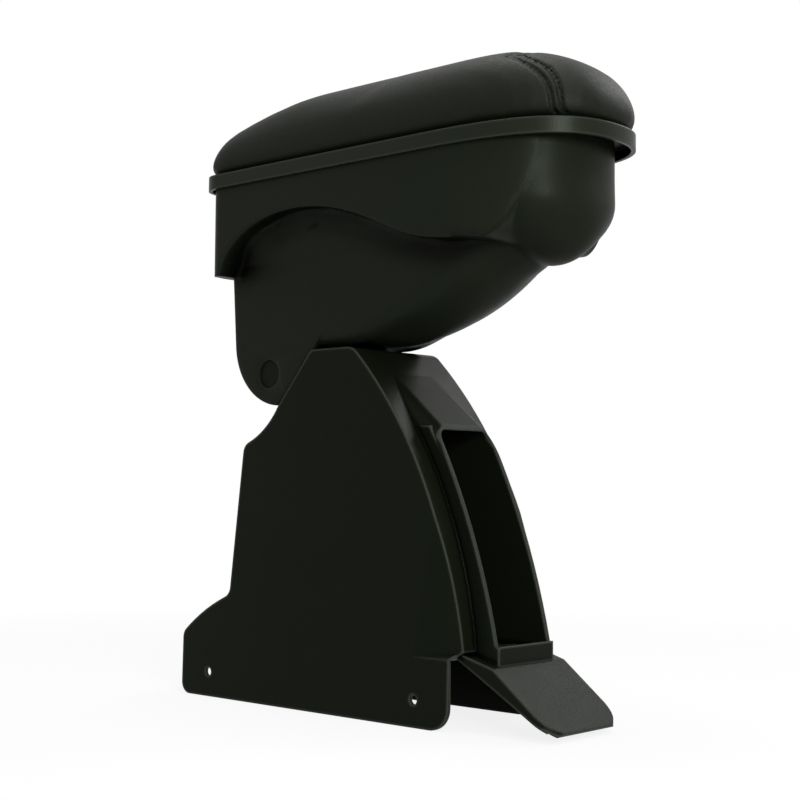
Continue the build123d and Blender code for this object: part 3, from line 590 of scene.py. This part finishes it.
def makePad():
    s = padSettings
    form = bmesh.new()
    rings = []
    for inset, height in padRings:
        inset += s["shrink"]
        ring = outlineRing(
            lidHigh.y - inset,
            lidLow.x + inset,
            lidHigh.x + s["frontBulge"] - inset,
            max(s["rearRound"] - inset / 2, s["leastRound"]),
            s["ringPoints"],
        )
        rings.append([form.verts.new((p.x, p.y, padBase + padHeight(p.x, height))) for p in ring])
    for low, high in zip(rings, rings[1:]):
        for i in range(len(low)):
            j = (i + 1) % len(low)
            form.faces.new((low[i], low[j], high[j], high[i]))
    form.faces.new(list(reversed(rings[0])))
    form.faces.new(rings[-1])
    bmesh.ops.recalc_face_normals(form, faces=form.faces)
    return newPiece("padCushion", form)


# the cover as cloth under pressure, held at its lower edge, with its moves kept small
def simulatePad(pad):
    s = padSettings
    remesh = pad.modifiers.new("remesh", "REMESH")
    remesh.mode = "VOXEL"
    remesh.voxel_size = s["voxel"]
    applyModifiers(pad)
    start = [v.co.copy() for v in pad.data.vertices]
    held = pad.vertex_groups.new(name="held")
    low = [v.index for v in pad.data.vertices if v.co.z < padBase + s["heldHeight"]]
    held.add(low, 1.0, "REPLACE")
    cloth = pad.modifiers.new("cloth", "CLOTH")
    cloth.settings.use_pressure = True
    cloth.settings.uniform_pressure_force = s["pressure"]
    cloth.settings.effector_weights.gravity = 0
    cloth.settings.vertex_group_mass = "held"
    for number in range(1, s["frames"] + 1):
        scene.frame_set(number)
    applyModifiers(pad)
    scene.frame_set(1)
    for vertex, before in zip(pad.data.vertices, start):
        move = vertex.co - before
        if move.length > s["mostMove"]:
            vertex.co = before + move.normalized() * s["mostMove"]
        vertex.co.z = max(vertex.co.z, padBase)
    ease = pad.modifiers.new("ease", "SMOOTH")
    ease.factor = s["easeShare"]
    ease.iterations = s["easeSteps"]
    smooth = pad.modifiers.new("subdivision", "SUBSURF")
    smooth.levels = smooth.render_levels = s["subdivisions"]
    applyModifiers(pad)


# where a seam line lies along the pad at a height: straight over the top, swept forward down the sides
def seamPlace(z, line):
    s = padSettings
    fall = min(max((s["seamZ"] - z) / s["seamFall"], 0.0), 1.0)
    slope = s["seamSweep"] * s["seamPower"] * (1 - fall) ** (s["seamPower"] - 1) / s["seamFall"]
    stretch = math.hypot(1, slope)
    sweep = s["seamSweep"] * (1 - (1 - fall) ** s["seamPower"])
    return s["seamX"] + sweep + line * min(stretch, s["seamStretch"]), stretch


def sewSeam(pad):
    s = padSettings
    for vertex in pad.data.vertices:
        inward = 0.0
        for line in (0.0, s["seamGap"]):
            place, stretch = seamPlace(vertex.co.z, line)
            inward += math.exp(-(((vertex.co.x - place) / stretch / s["seamWidth"]) ** 2))
        if inward > s["seamLeast"] and vertex.co.z > padBase + s["seamFoot"]:
            vertex.co -= vertex.normal * s["seamDepth"] * min(inward, 1.0)


stitchSettings = {
    "pitch": 0.0046,
    "length": 0.0031,
    "radius": 0.00042,
    "lift": 0.0001,
    "foot": 0.003,
    "rayHeight": 0.02,
    "climbSteps": 120,
    "topSteps": 80,
}


# where a seam line runs: up one side, over the top and down the other, found by rays from inside
def seamPath(tree, line):
    s = stitchSettings
    low, high = padBase + s["foot"], padSettings["seamZ"]
    path = []
    for side in (-1, 1):
        climb = []
        for i in range(s["climbSteps"] + 1):
            z = low + (high - low) * i / s["climbSteps"]
            place = Vector((seamPlace(z, line)[0], 0, z))
            hit, normal, _, _ = tree.ray_cast(place, Vector((0, side, 0)))
            if hit:
                climb.append((hit, normal))
        path.append(climb)
    width = path[0][-1][0].y
    top = []
    for i in range(1, s["topSteps"]):
        across = width * (1 - 2 * i / s["topSteps"])
        place = Vector((seamPlace(high, line)[0], across, padBase + s["rayHeight"]))
        hit, normal, _, _ = tree.ray_cast(place, Vector((0, 0, 1)))
        if hit:
            top.append((hit, normal))
    return path[0] + top + path[1][::-1]


def makeStitches(pad):
    s = stitchSettings
    tree = BVHTree.FromObject(pad, bpy.context.evaluated_depsgraph_get())
    form = bmesh.new()
    path = seamPath(tree, padSettings["seamGap"])
    walked, due = 0.0, s["pitch"] / 2
    for (a, normal), (b, _) in zip(path, path[1:]):
        span = (b - a).length
        while due <= walked + span and span > 0:
            middle = a.lerp(b, (due - walked) / span) + normal * s["lift"]
            along = (b - a).normalized()
            turn = along.to_track_quat("X", "Z").to_matrix().to_4x4()
            ball = bmesh.ops.create_uvsphere(form, u_segments=8, v_segments=6, radius=s["radius"])
            for vertex in ball["verts"]:
                vertex.co.x *= s["length"] / (2 * s["radius"])
                vertex.co = turn @ vertex.co + middle
            due += s["pitch"]
        walked += span
    for face in form.faces:
        face.smooth = True
    return newPiece("padStitches", form)


pad = makePad()
simulatePad(pad)
sewSeam(pad)
for polygon in pad.data.polygons:
    polygon.use_smooth = True
pad.data.materials.clear()
pad.data.materials.append(padLeather)
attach(pad, "lid")
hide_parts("pad")
stitches = makeStitches(pad)
stitches.data.materials.append(padThread)
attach(stitches, "lid")
print("pad sewn:", len(pad.data.vertices), "points")

# floor, world and lamps
stageSettings = {
    "floorSize": 12.0,
    "floorGap": 0.0002,
    "floorColor": (0.65, 0.65, 0.65, 1),
    "fadeStart": 0.40,
    "fadeEnd": 0.85,
    "shadowLift": 0.85,
    "worldLight": 0.22,
}


# one where the camera, a mirror or glass looks straight at the stage
def seenDirectly(tree, x, y):
    path = newNode(tree, "ShaderNodeLightPath", x, y)
    glossy = newNode(tree, "ShaderNodeMath", x + 200, y, operation="MAXIMUM")
    tree.links.new(path.outputs["Is Camera Ray"], glossy.inputs[0])
    tree.links.new(path.outputs["Is Glossy Ray"], glossy.inputs[1])
    seen = newNode(tree, "ShaderNodeMath", x + 400, y, operation="MAXIMUM")
    tree.links.new(glossy.outputs["Value"], seen.inputs[0])
    tree.links.new(path.outputs["Is Transmission Ray"], seen.inputs[1])
    return seen


# the floor shows the object's shadow near it and fades to white
def makeFloor():
    s = stageSettings
    level = cadBox[0][2] - s["floorGap"]
    bpy.ops.mesh.primitive_plane_add(size=s["floorSize"], location=(0, 0, level))
    floor = bpy.context.object
    floor.name = "floor"
    material = bpy.data.materials.new("paleFloor")
    material.use_nodes = True
    tree = material.node_tree
    link = tree.links.new
    near = tree.nodes["Principled BSDF"]
    setInputs(near, Base_Color=s["floorColor"], Roughness=0.9, Specular_IOR_Level=0.0)
    far = newNode(tree, "ShaderNodeEmission", 0, -300)
    place = newNode(tree, "ShaderNodeNewGeometry", -800, 0)
    distance = newNode(tree, "ShaderNodeVectorMath", -600, 0, operation="LENGTH")
    link(place.outputs["Position"], distance.inputs[0])
    fade = newNode(tree, "ShaderNodeMapRange", -400, 0, interpolation_type="SMOOTHSTEP")
    setInputs(fade, From_Min=s["fadeStart"], From_Max=s["fadeEnd"], To_Min=s["shadowLift"])
    link(distance.outputs["Value"], fade.inputs["Value"])
    white = newNode(tree, "ShaderNodeMath", -100, 300, operation="MULTIPLY")
    link(fade.outputs["Result"], white.inputs[0])
    link(seenDirectly(tree, -800, 400).outputs["Value"], white.inputs[1])
    mix = newNode(tree, "ShaderNodeMixShader", 300, 0)
    link(white.outputs["Value"], mix.inputs["Fac"])
    link(near.outputs["BSDF"], mix.inputs[1])
    link(far.outputs["Emission"], mix.inputs[2])
    link(mix.outputs["Shader"], tree.nodes["Material Output"].inputs["Surface"])
    floor.data.materials.append(material)


def makeWorld():
    world = bpy.data.worlds.new("studio")
    scene.world = world
    world.use_nodes = True
    tree = world.node_tree
    back = tree.nodes["Background"]
    light = newNode(tree, "ShaderNodeMapRange", -300, 200)
    setInputs(light, To_Min=stageSettings["worldLight"], To_Max=1.0)
    tree.links.new(seenDirectly(tree, -900, 200).outputs["Value"], light.inputs["Value"])
    tree.links.new(light.outputs["Result"], back.inputs["Strength"])
    back.inputs["Color"].default_value = (1, 1, 1, 1)


lampSettings = {
    "keyLamp": {"place": (0.9, -0.3, 1.6), "aim": (0.05, 0, 0.22), "size": 0.9, "power": 11},
    "edgeLamp": {"place": (1.15, -0.75, 0.50), "aim": (0.05, 0, 0.25), "size": 0.5, "power": 18},
    "rimLamp": {"place": (0.4, 1.3, 1.3), "aim": (0, 0, 0.3), "size": 0.8, "power": 9.5},
    "topLamp": {"place": (-0.15, 0.02, 1.75), "aim": (0.1, 0, 0.38), "size": 1.0, "power": 19.5},
}


def addLamp(name, place, aim, size, power):
    data = bpy.data.lights.new(name, "AREA")
    data.shape = "DISK"
    data.size = size
    data.energy = power
    lamp = bpy.data.objects.new(name, data)
    lamp.location = place
    lamp.rotation_euler = (Vector(aim) - Vector(place)).to_track_quat("-Z", "Y").to_euler()
    scene.collection.objects.link(lamp)


makeFloor()
makeWorld()
for name, lamp in lampSettings.items():
    addLamp(name, **lamp)
print("stage lit")

# the camera at the photograph's viewpoint
cameraSettings = {
    "place": Vector((0.6799, -0.7067, 0.1444)),
    "yaw": 42.12,
    "pitch": 3.27,
    "roll": 0.44,
    "lens": 66.33,
    "sensor": 36.0,
    "nearest": 0.01,
}


def makeCamera():
    s = cameraSettings
    yaw, pitch, roll = (math.radians(s[key]) for key in ("yaw", "pitch", "roll"))
    ahead = Vector((-math.sin(yaw) * math.cos(pitch), math.cos(yaw) * math.cos(pitch), math.sin(pitch)))
    right = Vector((math.cos(yaw), math.sin(yaw), 0))
    up = right.cross(ahead)
    tiltedRight = right * math.cos(roll) + up * math.sin(roll)
    tiltedUp = up * math.cos(roll) - right * math.sin(roll)
    data = bpy.data.cameras.new("photoCamera")
    data.lens = s["lens"]
    data.sensor_width = s["sensor"]
    data.clip_start = s["nearest"]
    camera = bpy.data.objects.new("photoCamera", data)
    scene.collection.objects.link(camera)
    matrix = camera.matrix_world.copy()
    for column, axis in enumerate((tiltedRight, tiltedUp, -ahead, s["place"])):
        for row in range(3):
            matrix[row][column] = axis[row]
    camera.matrix_world = matrix
    scene.camera = camera


makeCamera()
